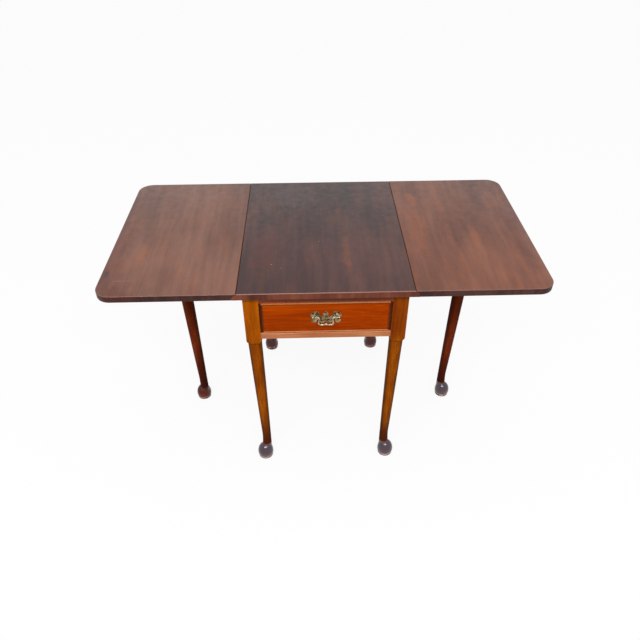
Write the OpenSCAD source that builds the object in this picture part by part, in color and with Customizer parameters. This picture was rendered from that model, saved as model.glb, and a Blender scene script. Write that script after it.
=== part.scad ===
// Drop-leaf table with six turned legs, two of them on swinging rails, and one end drawer.
// Front is -Y (the drawer end), right is +X, up is +Z. The origin is on the floor under the middle.

/* [Top] */
// Height of the top surface above the floor
top_height = 737; // [700:1:780]
// Thickness of the top boards
top_thickness = 20; // [18:0.5:24]
// Depth of the top and leaves, front to back
top_depth = 650; // [610:1:700]
// Width of the fixed centre board, seam to seam
centre_width = 488; // [470:1:540]
// Width of each leaf, seam to outer edge
leaf_width = 385; // [340:1:430]
// Radius of the outer corners of the leaves
leaf_corner_radius = 45; // [20:1:90]

/* [Rule joint] */
// Depth of the square lip above the quarter round
rule_lip = 4; // [3:0.5:6]
// Height of the hinge line above the underside of the top
axis_rise = 3; // [2.9:0.1:4]
// Gap between the quarter round and the leaf
rule_gap = 0.8; // [0.7:0.1:1.2]

/* [Hinges] */
// Length of a leaf hinge
hinge_length = 38; // [30:1:60]
// Distance from the end of the top to the middle of a hinge
hinge_inset = 110; // [60:1:160]
// Radius of the hinge knuckles
knuckle_radius = 2.8; // [2.4:0.1:2.85]
// Radius of the hinge pins
hinge_pin_radius = 1.5; // [1.2:0.1:1.6]
// Thickness of the hinge plates
plate_thickness = 1.8; // [1.5:0.1:1.9]
// Reach of the plate under the centre board, from the hinge line
centre_plate_reach = 27; // [24:1:34]
// Reach of the plate under the leaf, from the hinge line
leaf_plate_reach = 50; // [42:1:60]
// Radius of the hinge screw heads
hinge_screw_head = 3.3; // [2.8:0.1:3.8]
// Radius of the hinge screw shanks
hinge_screw_radius = 1.5; // [1.2:0.1:1.7]
// Length of the hinge screws
hinge_screw_length = 12; // [9:0.5:14]

/* [Frame] */
// How far the centre board stands past the legs at each side
side_overhang = 12.5; // [11:0.5:20]
// How far the centre board stands past the legs at front and back
end_overhang = 21; // [12:1:40]
// Height of the rails under the top
apron_height = 160; // [150:1:162]
// How far the rails stand behind the faces of the legs
rail_setback = 1; // [0.5:0.5:3]
// Thickness of the back apron
apron_thickness = 22; // [18:1:26]
// Thickness of the inner side rails
inner_rail_thickness = 20; // [16:1:24]
// Height of the rail above the drawer
top_rail_height = 29; // [24:1:34]
// Height of the rail below the drawer
lower_rail_height = 21; // [18:1:26]
// Depth of the two drawer rails, front to back
front_rail_depth = 40; // [34:1:50]
// Width of the strips beside the drawer
stile_width = 6; // [4:0.5:11]
// How far the strips beside the drawer lie behind the rails
stile_setback = 6; // [3:0.5:10]
// Length of the rail tenons
tenon_length = 14; // [8:0.5:16]
// Gap round the glued tenons and let-in pieces
glue_gap = 0.1; // [0.05:0.05:0.2]

/* [Legs] */
// Side of the square leg blocks
leg_size = 44; // [40:1:48]
// Length of the square leg blocks below the top
block_length = 162; // [160:1:180]
// Height of the turned shoulder under the block
shoulder_height = 18; // [10:1:26]
// Radius at the top of the turned shaft
shaft_top_radius = 20.8; // [19:0.1:21.5]
// Radius at the ankle
ankle_radius = 12.8; // [11:0.1:14]
// Extra radius at the middle of the shaft
shaft_swell = 0.6; // [0:0.1:1.5]
// How far the ankle lies in from the middle of the foot, in each direction
foot_offset = 9; // [4:0.5:9.5]
// Greatest radius of the foot
foot_radius = 26.5; // [25.5:0.5:29]
// Height of the foot
foot_height = 54; // [50:1:64]
// Height of the widest part of the foot
foot_waist = 18; // [16:1:24]
// Radius of the disc that the foot stands on
foot_disc_radius = 24.5; // [21:0.5:24.5]
// Height of the disc that the foot stands on
foot_disc_height = 6; // [4:0.5:7]
// Height at which the shaft starts to swell into the foot
flare_height = 95; // [85:1:110]
// How far the swelling's lower end lies in from the middle of the foot, in each direction
flare_offset = 5.8; // [3.5:0.1:7]

/* [Swing legs] */
// Distance of each swing pivot from the middle of the frame
pivot_offset = 17; // [5:1:30]
// Thickness of the swinging rail and of the side rail that carries it
fly_thickness = 22; // [20:1:26]
// Radius of the steel pivot pin
pivot_pin_radius = 4; // [3:0.5:5]
// Radial clearance of the pivot pin
pivot_clearance = 0.05; // [0.02:0.01:0.08]
// Gap between the wooden knuckles and the shoulders
knuckle_gap = 0.5; // [0.4:0.1:1.5]
// How far the closed swing leg stands proud of the fixed legs
swing_proud = 1; // [0.6:0.1:3]
// Gap between the closed swing leg and the fixed leg beside it
swing_gap = 14; // [8:1:30]
// Gap between the swing leg and the leaf that it holds
swing_top_gap = 0.3; // [0.2:0.1:1]
// How far the top and bottom of the swinging rail clear the frame
fly_margin = 3; // [1:0.5:8]

/* [Drawer] */
// Length of the drawer sides behind the front
drawer_length = 460; // [380:5:540]
// Thickness of the drawer front
drawer_front_thickness = 20; // [18:0.5:24]
// Thickness of the drawer sides
drawer_side_thickness = 12; // [10:0.5:14]
// Thickness of the drawer back
drawer_back_thickness = 10; // [8:0.5:14]
// Thickness of the drawer bottom
drawer_bottom_thickness = 6; // [5:0.5:8]
// How far the drawer sides stop below the rail above the drawer
side_drop = 16.2; // [8:0.1:22]
// Height of the drawer bottom above the lower edge of the sides
bottom_rise = 12; // [11:0.5:16]
// Gap beside the drawer front
front_side_gap = 0.75; // [0.5:0.25:2]
// Gap under the drawer front
front_low_gap = 3.5; // [1:0.5:5]
// Gap above the drawer front
front_top_gap = 1.5; // [0.5:0.5:3]
// Gap between the drawer sides and the inner rails
side_run_gap = 1.5; // [0.5:0.5:3]
// Gap between the drawer sides and the runners
run_gap = 0.3; // [0.2:0.1:0.6]
// Depth of the grooves that hold the drawer bottom
groove_depth = 5; // [3:0.5:6]
// Length of the dovetails in the drawer front
tail_length = 14; // [10:0.5:15]
// Width of the bead round the drawer front
bead_width = 3.5; // [3:0.5:6]
// How far the bead stands in front of the drawer
bead_proud = 2; // [1.5:0.5:3]
// Depth of the rebate that holds the bead
bead_rebate = 8; // [5:0.5:10]

/* [Drawer pull] */
// Distance between the two posts
post_centres = 61; // [57:0.5:68]
// Height of the pull's middle above the middle of the drawer front
pull_rise = 2; // [-5:0.5:8]
// Height of the posts above the pull's middle
post_rise = 7; // [5:0.5:9]
// Thickness of the back plate
backplate_thickness = 1.5; // [1:0.1:2.5]
// Distance of the bail's pins in front of the drawer front
bail_standoff = 11; // [10:0.5:13]
// Radius of the round post heads
post_head_radius = 3.8; // [3.4:0.1:4.6]
// Radius of the post shanks
shank_radius = 2.5; // [2:0.1:2.9]
// Length of the post shanks behind the drawer front
shank_tail = 5; // [4:0.5:8]
// Radius of the bail
bail_radius = 2.8; // [1.7:0.1:3.1]
// Radius of the bail's pins, which run right through the post heads
bail_pin_radius = 1.4; // [1.1:0.1:1.6]
// Radial clearance of the bail's pins
bail_pin_clearance = 0.08; // [0.03:0.01:0.1]
// Radius of the round ends of the bail, outside the posts
bail_end_radius = 2.7; // [2.3:0.1:3]
// How far the bail hangs below its pins
bail_drop = 27; // [25:0.5:32]
// Half the width of the bail at its neck
bail_neck = 19; // [17:0.5:20]
// Radius of the small knop at the middle of the bail
bail_knop = 3.7; // [3.3:0.1:4.1]

/* [Hidden] */
$fn = 64;

// A tool that cuts right through reaches this far past both faces
past = 1;

// Colours, as rough guides to the finish
mahogany_top = [0.36, 0.25, 0.22];
mahogany_leaf = [0.48, 0.32, 0.25];
mahogany_frame = [0.50, 0.22, 0.07];
mahogany_front = [0.60, 0.23, 0.05];
mahogany_rail = [0.68, 0.40, 0.24];
inner_wood = [0.60, 0.45, 0.30];
old_brass = [0.58, 0.48, 0.32];
dark_steel = [0.25, 0.24, 0.23];

// Levels of the top
underside = top_height - top_thickness;
axis_z = underside + axis_rise;
half_depth = top_depth / 2;
seam_x = centre_width / 2;
rule_radius = top_thickness - rule_lip - axis_rise;
cove_radius = rule_radius + rule_gap;

// The frame's outer faces, and the inner faces of the fixed legs
frame_x = seam_x - side_overhang;
frame_y = half_depth - end_overhang;
inner_x = frame_x - leg_size;
inner_y = frame_y - leg_size;
leg_x = frame_x - leg_size / 2;
leg_y = frame_y - leg_size / 2;
rail_z = underside - apron_height;

// The drawer rails and the opening between them
rail_face = frame_y - rail_setback;
rail_back = rail_face - front_rail_depth;
apron_face = rail_face - apron_thickness;
opening_low = rail_z + lower_rail_height;
opening_high = underside - top_rail_height;
opening_x = inner_x - stile_width;
rail_inner_x = inner_x - inner_rail_thickness;

// The drawer
front_x = opening_x - front_side_gap;
front_low = opening_low + front_low_gap;
front_high = opening_high - front_top_gap;
front_rear = rail_face - drawer_front_thickness;
side_outer = rail_inner_x - side_run_gap;
side_inner = side_outer - drawer_side_thickness;
side_low = opening_low + run_gap;
side_high = opening_high - side_drop;
side_height = side_high - side_low;
drawer_rear = drawer_length - front_rear;
bottom_low = side_low + bottom_rise;
bottom_high = bottom_low + drawer_bottom_thickness;
back_housing = 4;
back_drop = 4;

// Drawer dovetails: the middles of the first and last lie this far inside the side's edges
tail_count = 3;
tail_first = 19;
tail_last = 18.5;
tail_pitch = (side_height - tail_first - tail_last) / (tail_count - 1);
tail_root = 8;
tail_tip = 10.5;

// The swing pivot, and the reach from it to the middle of the swing leg
pivot_x = frame_x - fly_thickness / 2;
pivot_y = -pivot_offset;
pivot_bore = pivot_pin_radius + pivot_clearance;
shoulder_y = fly_thickness / 2 + knuckle_gap;
swing_reach = inner_y - swing_gap - leg_size / 2 - pivot_y;
swing_inset = leg_size / 2 - fly_thickness / 2 - swing_proud;
knuckle_count = 5;
knuckle_height = apron_height / knuckle_count;

// Rail tenons
tenon_thickness = 11;
tenon_margin = 14;
rail_tenon_depth = 16;
rail_tenon_margin = 4;

// Drawer running parts
runner_width = 17.5;
runner_height = 16;
kicker_width = 20;
kicker_gap = 3;
kicker_top_gap = 4.2;
stop_height = 8;
stop_length = 35;
stop_x = 90;
stop_gap = 0.3;

// Glue blocks and the screws that hold the top
block_size = 18;
glue_block_length = 60;
glue_block_pitch = 150;
corner_block_size = 30;
corner_block_margin = 12;
side_block_length = 45;
fixing_x = 80;
fixing_radius = 2.1;
fixing_head = 4.2;
fixing_head_height = 3;
fixing_bite = 13;
fixing_clearance = 0.05;

// Hinge details
knuckle_groove = 0.55;
plate_gap = 0.1;
plate_slot_gap = 0.7;
plate_start = 0.6;
hinge_axial_gap = 0.3;
pin_fit = 0.05;
screw_fit = 0.05;
screw_spread = 24;
centre_screw_x = 20;
leaf_screw_near = 24;
leaf_screw_far = 42;

// The drawer pull
pull_z = (front_low + front_high) / 2 + pull_rise;
post_z = pull_z + post_rise;
post_x = post_centres / 2;
pin_y = -rail_face - bail_standoff;
shank_fit = 0.1;
nut_radius = 5.2;
nut_height = 3;
bail_shoulder_gap = 0.5;
bail_end_x = post_x + post_head_radius + bail_end_radius;
bail_neck_bend = 5;
bail_corner_bend = 6;
bail_flare = 6;
bail_rise = 8;

// Copies of a right-hand piece for one side, 1 for right and -1 for left
module mirrored(side) {
  mirror([side < 0 ? 1 : 0, 0, 0]) children();
}

// Copies of a right-hand piece turned half round for the left, as the two swing frames are
module turned(side) {
  rotate([0, 0, side < 0 ? 180 : 0]) children();
}

// A box given by its lowest and highest corners
module block(low, high) {
  translate(low) cube(high - low);
}

// A round bar along Y between two places
module bar_y(x, z, y0, y1, r) {
  translate([x, y0, z]) rotate([-90, 0, 0]) cylinder(r = r, h = y1 - y0);
}

// A round bar along X between two places
module bar_x(y, z, x0, x1, r) {
  translate([x0, y, z]) rotate([0, 90, 0]) cylinder(r = r, h = x1 - x0);
}

// Places of the two hinges along one seam
hinge_places = [-half_depth + hinge_inset, half_depth - hinge_inset];

// A countersunk screw that points up, with its head face at z = 0
module screw(r, head, head_height, length, fit = 0) {
  union() {
    translate([0, 0, -fit]) cylinder(r1 = head + fit, r2 = r + fit, h = head_height + fit);
    cylinder(r = r + fit, h = length + fit);
  }
}

// The slot across a screw head
module screw_slot(head) {
  translate([-head, -0.35, -past]) cube([2 * head, 0.7, past + 0.7]);
}

module hinge_screw(fit = 0) {
  screw(hinge_screw_radius, hinge_screw_head, plate_thickness - 0.1, hinge_screw_length, fit);
}

// Screw places on a hinge, measured from the hinge line
function centre_screw_places() = [for (y = [-1, 1]) [-centre_screw_x, y * screw_spread / 2]];
function leaf_screw_places() = concat(
  [for (y = [-1, 1]) [leaf_screw_near, y * screw_spread / 2]],
  [[leaf_screw_far, 0]]
);

// Puts children at each hinge of the right-hand seam, on the underside
module at_hinges() {
  for (y = hinge_places) translate([seam_x, y, underside]) children();
}

// Room in the centre board for one hinge, from its underside
module centre_hinge_room() {
  half = hinge_length / 2 + plate_gap;
  groove = knuckle_radius + knuckle_groove;
  block([-centre_plate_reach - plate_gap, -half, -past], [0, half, plate_thickness + plate_gap]);
  block([-groove, -half, -past], [groove, half, axis_rise]);
  translate([0, -half, axis_rise]) rotate([-90, 0, 0]) cylinder(r = groove, h = 2 * half);
  block([0, -half, -past], [cove_radius + past, half, plate_thickness + plate_slot_gap]);
  for (p = centre_screw_places()) translate([p.x, p.y, 0]) hinge_screw(screw_fit);
}

// Room in the right leaf for one hinge, from its underside
module leaf_hinge_room() {
  half = hinge_length / 2 + plate_gap;
  block([cove_radius - past, -half, -past],
        [leaf_plate_reach + plate_gap, half, plate_thickness + plate_gap]);
  for (p = leaf_screw_places()) translate([p.x, p.y, 0]) hinge_screw(screw_fit);
}

// The quarter round along the right edge of the centre board
module rule_round() {
  intersection() {
    bar_y(seam_x, axis_z, -half_depth, half_depth, rule_radius);
    block([seam_x - past, -half_depth, axis_z], [seam_x + rule_radius, half_depth, top_height]);
  }
  block([seam_x - past, -half_depth, underside], [seam_x + rule_radius, half_depth, axis_z]);
}

module top_centre() {
  color(mahogany_top)
  difference() {
    union() {
      block([-seam_x, -half_depth, underside], [seam_x, half_depth, top_height]);
      for (side = [-1, 1]) mirrored(side) rule_round();
    }
    for (side = [-1, 1]) mirrored(side) at_hinges() centre_hinge_room();
    for (p = fixing_places()) translate([p.x, p.y, underside - block_size]) fixing_screw(fixing_clearance);
  }
}

// The right leaf, with its two outer corners rounded
module leaf_board() {
  outer = seam_x + leaf_width;
  r = leaf_corner_radius;
  block([seam_x + rule_gap, -half_depth, underside], [outer - r, half_depth, top_height]);
  block([outer - r - past, -half_depth + r, underside], [outer, half_depth - r, top_height]);
  for (y = [-half_depth + r, half_depth - r])
    translate([outer - r, y, underside]) cylinder(r = r, h = top_thickness);
}

module leaf(side) {
  color(mahogany_leaf)
  mirrored(side) difference() {
    leaf_board();
    bar_y(seam_x, axis_z, -half_depth - past, half_depth + past, cove_radius);
    block([seam_x - past, -half_depth - past, underside - past],
          [seam_x + cove_radius, half_depth + past, axis_z]);
    at_hinges() leaf_hinge_room();
  }
}

// One hinge knuckle with the web that joins it to its plate, reaching to x = reach
module hinge_knuckle(y0, y1, reach) {
  difference() {
    union() {
      translate([0, y0, axis_rise]) rotate([-90, 0, 0]) cylinder(r = knuckle_radius, h = y1 - y0);
      block([min(0, reach), y0, 0], [max(0, reach), y1, plate_thickness]);
    }
    translate([0, y0 - past, axis_rise]) rotate([-90, 0, 0])
      cylinder(r = hinge_pin_radius + pin_fit, h = y1 - y0 + 2 * past);
  }
}

hinge_third = hinge_length / 3;
web_x = knuckle_radius + plate_start;

// The plate under the centre board, with the two outer knuckles
module centre_plate() {
  half = hinge_length / 2;
  difference() {
    union() {
      block([-centre_plate_reach, -half, 0], [-web_x, half, plate_thickness]);
      hinge_knuckle(-half, -half + hinge_third, -web_x - past);
      hinge_knuckle(half - hinge_third, half, -web_x - past);
    }
    for (p = centre_screw_places()) translate([p.x, p.y, 0]) hinge_screw(screw_fit);
  }
}

// The plate under the leaf, with the middle knuckle
module leaf_plate() {
  half = hinge_length / 2;
  middle = hinge_third / 2 - hinge_axial_gap;
  difference() {
    union() {
      block([web_x, -half, 0], [leaf_plate_reach, half, plate_thickness]);
      hinge_knuckle(-middle, middle, web_x + past);
    }
    for (p = leaf_screw_places()) translate([p.x, p.y, 0]) hinge_screw(screw_fit);
  }
}

module hinge_plates_centre(side) {
  color(old_brass) mirrored(side) at_hinges() centre_plate();
}

module hinge_plates_leaf(side) {
  color(old_brass) mirrored(side) at_hinges() leaf_plate();
}

module hinge_pins(side) {
  color(dark_steel)
  mirrored(side) at_hinges()
    bar_y(0, axis_rise, -hinge_length / 2, hinge_length / 2, hinge_pin_radius);
}

module slotted_hinge_screw() {
  difference() {
    hinge_screw();
    screw_slot(hinge_screw_head);
  }
}

module hinge_screws_centre() {
  color(dark_steel)
  for (side = [-1, 1]) mirrored(side) at_hinges()
    for (p = centre_screw_places()) translate([p.x, p.y, 0]) slotted_hinge_screw();
}

module hinge_screws_leaf(side) {
  color(dark_steel)
  mirrored(side) at_hinges()
    for (p = leaf_screw_places()) translate([p.x, p.y, 0]) slotted_hinge_screw();
}

// Outline of the foot: a standing disc, a groove and a full round pad
dome_height = foot_height - foot_waist;
dome_steps = 14;
dome_power = 2.1;
function dome_point(t) = [
  foot_radius * pow(1 - pow(t, dome_power), 1 / dome_power),
  foot_waist + dome_height * t
];
foot_groove = 1.2;
belly_low = foot_disc_height + 1.5;
belly_steps = 4;
function belly_point(t) = [
  foot_disc_radius - foot_groove + (foot_radius - foot_disc_radius + foot_groove) * sin(90 * t),
  belly_low + (foot_waist - belly_low) * (1 - cos(90 * t))
];
foot_outline = concat(
  [[0, 0], [foot_disc_radius - 1.5, 0], [foot_disc_radius, 1.5], [foot_disc_radius, foot_disc_height]],
  [for (i = [0 : belly_steps - 1]) belly_point(i / belly_steps)],
  [for (i = [0 : dome_steps - 1]) dome_point(sin(90 * i / dome_steps))],
  [[0, foot_height]]
);

// The shaft leans from the middle of the block to the ankle over the foot
shaft_low = foot_waist + 10;
shaft_high = underside - block_length - shoulder_height / 2;
shaft_shift = foot_offset * sqrt(2);
shaft_run = sqrt(pow(shaft_high - shaft_low, 2) + pow(shaft_shift, 2));
shaft_tilt = atan(shaft_shift / (shaft_high - shaft_low));
shaft_steps = 12;
function shaft_radius(t) = ankle_radius + (shaft_top_radius - ankle_radius) * t + shaft_swell * sin(180 * t);
shaft_outline = concat(
  [[0, 0]],
  [for (i = [0 : shaft_steps]) [shaft_radius(i / shaft_steps), shaft_run * i / shaft_steps]],
  [[0, shaft_run]]
);

// The swelling at the ankle leans the other way, so that it brings the shaft down onto the foot.
// Its top starts a little inside the shaft.
flare_low = foot_waist + 12;
flare_heel = 1.5;
flare_start = (flare_height - shaft_low) / (shaft_high - shaft_low);
flare_top_radius = shaft_radius(flare_start) - 0.5;
flare_radius = foot_radius - flare_offset * sqrt(2) - flare_heel;
flare_shift = (foot_offset * (1 - flare_start) - flare_offset) * sqrt(2);
flare_run = sqrt(pow(flare_height - flare_low, 2) + pow(flare_shift, 2));
flare_tilt = atan(flare_shift / (flare_height - flare_low));
flare_steps = 8;
function flare_point(t) = [
  flare_top_radius + (flare_radius - flare_top_radius) * pow(1 - t, 2),
  flare_run * t
];
flare_outline = concat(
  [[0, 0]],
  [for (i = [0 : flare_steps]) flare_point(i / flare_steps)],
  [[0, flare_run]]
);

// The turned shoulder, which cuts the corners of the block
shoulder_low = underside - block_length - shoulder_height;
shoulder_cut = 5;
corner_radius = leg_size / sqrt(2) + 0.5;
shoulder_steps = 8;
shoulder_rise = shoulder_height + shoulder_cut;
shoulder_outline = concat(
  [[0, 0]],
  [for (i = [0 : shoulder_steps]) [
    shaft_top_radius - 0.6 + (corner_radius - shaft_top_radius + 0.6) * sin(90 * i / shoulder_steps),
    shoulder_rise * (1 - cos(90 * i / shoulder_steps))
  ]],
  [[0, shoulder_rise]]
);

// A leg with its foot pointing towards +X and +Y, its block centred on the origin, up to a height
module turned_leg(height) {
  half = leg_size / 2;
  union() {
    rotate_extrude() polygon(foot_outline);
    translate([-foot_offset, -foot_offset, shaft_low])
      rotate([0, shaft_tilt, 45]) rotate_extrude() polygon(shaft_outline);
    translate([-flare_offset, -flare_offset, flare_low])
      rotate([0, -flare_tilt, 45]) rotate_extrude() polygon(flare_outline);
    intersection() {
      block([-half, -half, shoulder_low], [half, half, shoulder_low + shoulder_rise]);
      translate([0, 0, shoulder_low]) rotate_extrude() polygon(shoulder_outline);
    }
    block([-half, -half, shoulder_low + shoulder_rise - 0.01], [half, half, height]);
  }
}

// Mortises that the front rails' tenons enter, on the right, at the front
module front_mortises() {
  rail_tenon(rail_z, opening_low, glue_gap);
  rail_tenon(opening_high, underside, glue_gap);
}

// The tenon at the right end of a front rail that lies between two heights
module rail_tenon(low, high, gap = 0) {
  middle = -rail_face + front_rail_depth / 2;
  block([inner_x - 0.01, middle - rail_tenon_depth / 2 - gap, low + rail_tenon_margin - gap],
        [inner_x + tenon_length + gap, middle + rail_tenon_depth / 2 + gap, high - rail_tenon_margin + gap]);
}

// The tenon at the right end of the back apron
module apron_tenon(gap = 0) {
  middle = rail_face - apron_thickness / 2;
  block([inner_x - 0.01, middle - tenon_thickness / 2 - gap, rail_z + tenon_margin - gap],
        [inner_x + tenon_length + gap, middle + tenon_thickness / 2 + gap, underside - tenon_margin + gap]);
}

// The tenon at the leg end of the right side rail, which enters the front leg
module side_rail_tenon(gap = 0) {
  block([pivot_x - tenon_thickness / 2 - gap, -inner_y - tenon_length - gap, rail_z + tenon_margin - gap],
        [pivot_x + tenon_thickness / 2 + gap, -inner_y + 0.01, underside - tenon_margin + gap]);
}

// Which fixed legs carry a side rail: front right and back left
module leg_front(side) {
  color(mahogany_frame)
  mirrored(side) difference() {
    translate([leg_x, -leg_y, 0]) rotate([0, 0, -90]) turned_leg(underside);
    front_mortises();
    if (side > 0) side_rail_tenon(glue_gap);
  }
}

module leg_back(side) {
  color(mahogany_frame)
  mirrored(side) difference() {
    translate([leg_x, leg_y, 0]) turned_leg(underside);
    apron_tenon(glue_gap);
    if (side < 0) mirror([0, 1, 0]) side_rail_tenon(glue_gap);
  }
}

// Puts the closed right swing frame at its open place, a quarter turn about the pivot
module opened() {
  translate([pivot_x, pivot_y, 0]) rotate([0, 0, -90]) children();
}

fly_low = rail_z + fly_margin;
fly_high = underside - fly_margin;
swing_high = underside - swing_top_gap;

// The tenon of the closed fly rail in the swing leg, seen from the pivot
module fly_tenon(gap = 0) {
  face = swing_reach - leg_size / 2;
  block([-tenon_thickness / 2 - gap, face - 0.01, fly_low + tenon_margin - gap],
        [tenon_thickness / 2 + gap, face + tenon_length + gap, fly_high - tenon_margin + gap]);
}

module swing_leg(side) {
  color(mahogany_frame)
  turned(side) opened() difference() {
    translate([-swing_inset, swing_reach, 0]) turned_leg(swing_high);
    fly_tenon(glue_gap);
  }
}

// Heights of the wooden knuckle of a given number, drawn in by a gap at both ends
function knuckle_low(i, gap = 0) = rail_z + i * knuckle_height + gap;
function knuckle_high(i, gap = 0) = rail_z + (i + 1) * knuckle_height - gap;

// A wooden knuckle round the pivot, joined to a rail that lies towards -Y
module wood_knuckle(low, high) {
  translate([0, 0, low]) cylinder(d = fly_thickness, h = high - low);
  block([-fly_thickness / 2, -shoulder_y - past, low], [fly_thickness / 2, 0, high]);
}

module pivot_hole() {
  translate([0, 0, rail_z - past]) cylinder(r = pivot_bore, h = apron_height + 2 * past);
}

module fixed_side_rail(side) {
  half = fly_thickness / 2;
  color(mahogany_frame)
  turned(side) union() {
    translate([pivot_x, pivot_y, 0]) difference() {
      union() {
        block([-half, -inner_y - pivot_y, rail_z], [half, -shoulder_y, underside]);
        for (i = [0, 2, 4]) wood_knuckle(knuckle_low(i), knuckle_high(i));
      }
      pivot_hole();
    }
    side_rail_tenon();
  }
}

module fly_rail(side) {
  half = fly_thickness / 2;
  color(mahogany_frame)
  turned(side) opened() difference() {
    union() {
      block([-half, shoulder_y, fly_low], [half, swing_reach - leg_size / 2, fly_high]);
      rotate([0, 0, 180]) for (i = [1, 3])
        wood_knuckle(knuckle_low(i, knuckle_gap), knuckle_high(i, knuckle_gap));
      fly_tenon();
    }
    pivot_hole();
  }
}

module fly_rail_pin(side) {
  color(dark_steel)
  turned(side) translate([pivot_x, pivot_y, rail_z + past])
    cylinder(r = pivot_pin_radius, h = apron_height - 2 * past);
}

// Two blocks that tie the side rail to the inner rail behind it
module side_blocks(side) {
  far = -pivot_y + shoulder_y;
  near = inner_y - glue_block_length;
  color(inner_wood)
  turned(side) for (y = [-far, -near + side_block_length])
    block([inner_x, y - side_block_length, rail_z], [frame_x - fly_thickness, y, underside]);
}

module front_top_rail() {
  color(mahogany_rail)
  difference() {
    union() {
      block([-inner_x, -rail_face, opening_high], [inner_x, -rail_back, underside]);
      for (side = [-1, 1]) mirrored(side) rail_tenon(opening_high, underside);
    }
    for (p = fixing_places()) if (p.y < 0) {
      translate([p.x, p.y, underside - block_size]) fixing_screw(fixing_clearance);
      translate([p.x, p.y, opening_high - past])
        cylinder(r = fixing_head + 0.5, h = top_rail_height - block_size + past);
    }
  }
}

module front_lower_rail() {
  color(mahogany_rail)
  union() {
    block([-inner_x, -rail_face, rail_z], [inner_x, -rail_back, opening_low]);
    for (side = [-1, 1]) mirrored(side) rail_tenon(rail_z, opening_low);
  }
}

module back_apron() {
  color(mahogany_frame)
  union() {
    block([-inner_x, apron_face, rail_z], [inner_x, rail_face, underside]);
    for (side = [-1, 1]) mirrored(side) apron_tenon();
  }
}

// The rail behind the swing leg, glued to the inner faces of both fixed legs
module inner_rail(side) {
  color(inner_wood)
  mirrored(side) union() {
    block([rail_inner_x, -rail_back, rail_z], [inner_x, apron_face, underside]);
    block([rail_inner_x, -front_rear + past, opening_low], [inner_x, -rail_back + past, opening_high]);
  }
}

module opening_stile(side) {
  color(mahogany_frame)
  mirrored(side)
    block([opening_x, -rail_face + stile_setback, opening_low], [inner_x, -front_rear, opening_high]);
}

module drawer_runner(side) {
  color(inner_wood)
  mirrored(side)
    block([rail_inner_x - runner_width, -rail_back, opening_low - runner_height],
          [rail_inner_x, apron_face, opening_low]);
}

module drawer_kicker(side) {
  high = underside - block_size - kicker_top_gap;
  color(inner_wood)
  mirrored(side)
    block([rail_inner_x - kicker_width, -rail_back, side_high + kicker_gap],
          [rail_inner_x, apron_face, high]);
}

// Two stops on the lower rail, which the back of the drawer front meets
module drawer_stops() {
  color(inner_wood)
  for (x = [-stop_x, stop_x])
    block([x - stop_length / 2, -front_rear + stop_gap, opening_low],
          [x + stop_length / 2, -rail_back, opening_low + stop_height]);
}

module corner_blocks() {
  s = corner_block_size;
  color(inner_wood)
  for (side = [-1, 1]) mirrored(side)
    translate([rail_inner_x, apron_face, opening_low + corner_block_margin])
      linear_extrude(height = side_height - 2 * corner_block_margin)
        polygon([[0, 0], [-s, 0], [0, -s]]);
}

// Blocks glued under the top: three along each inner rail and two along the back apron
module top_glue_blocks() {
  half = glue_block_length / 2;
  color(inner_wood) {
    for (side = [-1, 1]) mirrored(side)
      for (i = [-1, 0, 1])
        block([rail_inner_x - block_size, i * glue_block_pitch - half, underside - block_size],
              [rail_inner_x, i * glue_block_pitch + half, underside]);
    difference() {
      for (x = [-fixing_x, fixing_x])
        block([x - half, apron_face - block_size, underside - block_size],
              [x + half, apron_face, underside]);
      for (p = fixing_places()) if (p.y > 0)
        translate([p.x, p.y, underside - block_size]) fixing_screw(fixing_clearance);
    }
  }
}

// Places of the four screws that hold the centre board
function fixing_places() = [
  for (x = [-fixing_x, fixing_x])
    for (y = [-rail_face + front_rail_depth / 2, apron_face - block_size / 2]) [x, y]
];

module fixing_screw(fit = 0) {
  screw(fixing_radius, fixing_head, fixing_head_height, block_size + fixing_bite, fit);
}

module top_fixing_screws() {
  color(dark_steel)
  for (p = fixing_places()) translate([p.x, p.y, underside - block_size]) difference() {
    fixing_screw();
    screw_slot(fixing_head);
  }
}

// The dovetails of the right drawer side, which enter the drawer front
module tails(gap = 0) {
  for (i = [0 : tail_count - 1])
    translate([side_inner - gap, -front_rear, side_low + tail_first + i * tail_pitch])
      rotate([90, 0, 90]) linear_extrude(height = drawer_side_thickness + 2 * gap)
        polygon([
          [0.01, -tail_root - gap], [0.01, tail_root + gap],
          [-tail_length - gap, tail_tip + gap], [-tail_length - gap, -tail_tip - gap]
        ]);
}

// The groove that the drawer bottom slides in
module bottom_space(gap = 0) {
  block([-side_inner - groove_depth - gap, -front_rear - groove_depth - gap, bottom_low - gap],
        [side_inner + groove_depth + gap, drawer_rear + gap, bottom_high + gap]);
}

// The shank of one post, from the back plate to its end behind the drawer front
module shank(r) {
  bar_y(0, 0, -rail_face - backplate_thickness - past, -front_rear + shank_tail, r);
}

module at_posts() {
  for (x = [-post_x, post_x]) translate([x, 0, post_z]) children();
}

module drawer_front() {
  b = bead_width + glue_gap;
  color(mahogany_front)
  difference() {
    block([-front_x, -rail_face, front_low], [front_x, -front_rear, front_high]);
    difference() {
      block([-front_x - past, -rail_face - past, front_low - past],
            [front_x + past, -rail_face + bead_rebate + glue_gap, front_high + past]);
      block([-front_x + b, -rail_face - 2 * past, front_low + b],
            [front_x - b, -rail_face + bead_rebate + 2 * past, front_high - b]);
    }
    for (side = [-1, 1]) mirrored(side) tails(glue_gap);
    bottom_space(glue_gap);
    at_posts() shank(shank_radius + shank_fit);
  }
}

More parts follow.
